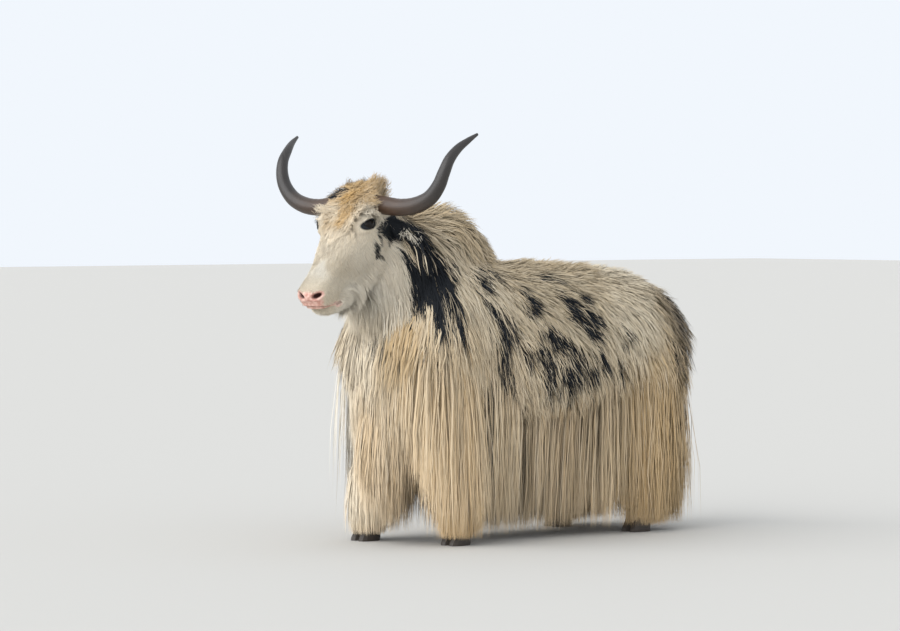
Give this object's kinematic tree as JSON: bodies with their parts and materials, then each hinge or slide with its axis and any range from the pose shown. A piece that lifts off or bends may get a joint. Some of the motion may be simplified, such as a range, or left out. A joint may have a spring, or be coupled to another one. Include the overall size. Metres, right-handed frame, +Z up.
{
  "type": "yak model",
  "caption": "Life-size standing long-haired yak with wide, upswept horns, a curly forelock, a high hump and a coat that hangs in locks almost to its cloven hooves.",
  "frame": {"origin": "on the floor, under the middle of the overall outline", "axes": "+X the way the body faces, +Y to the yak's left, +Z up"},
  "size_m": [2.0998, 0.872, 1.6018],
  "materials": {
    "long_coat": "long, matte, slightly silky hair",
    "short_coat": "short, matte hair",
    "horn": "satin, worn horn",
    "eye": "wet and glossy",
    "hoof": "dull, scuffed hoof"
  },
  "bodies": {
    "root": {"neck": "long_coat", "hump": "long_coat", "shoulders": "long_coat", "barrel": "long_coat", "rump": "long_coat", "tail": "long_coat", "foreleg_left": "long_coat", "foreleg_right": "long_coat", "hindleg_left": "long_coat", "hindleg_right": "long_coat", "head": "short_coat", "ear_left": "short_coat", "ear_right": "short_coat", "horn_left": "horn", "horn_right": "horn", "eye_left": "eye", "eye_right": "eye", "claw_fore_left_inner": "hoof", "claw_fore_left_outer": "hoof", "claw_fore_right_inner": "hoof", "claw_fore_right_outer": "hoof", "claw_hind_left_inner": "hoof", "claw_hind_left_outer": "hoof", "claw_hind_right_inner": "hoof", "claw_hind_right_outer": "hoof"}
  },
  "joints": []
}
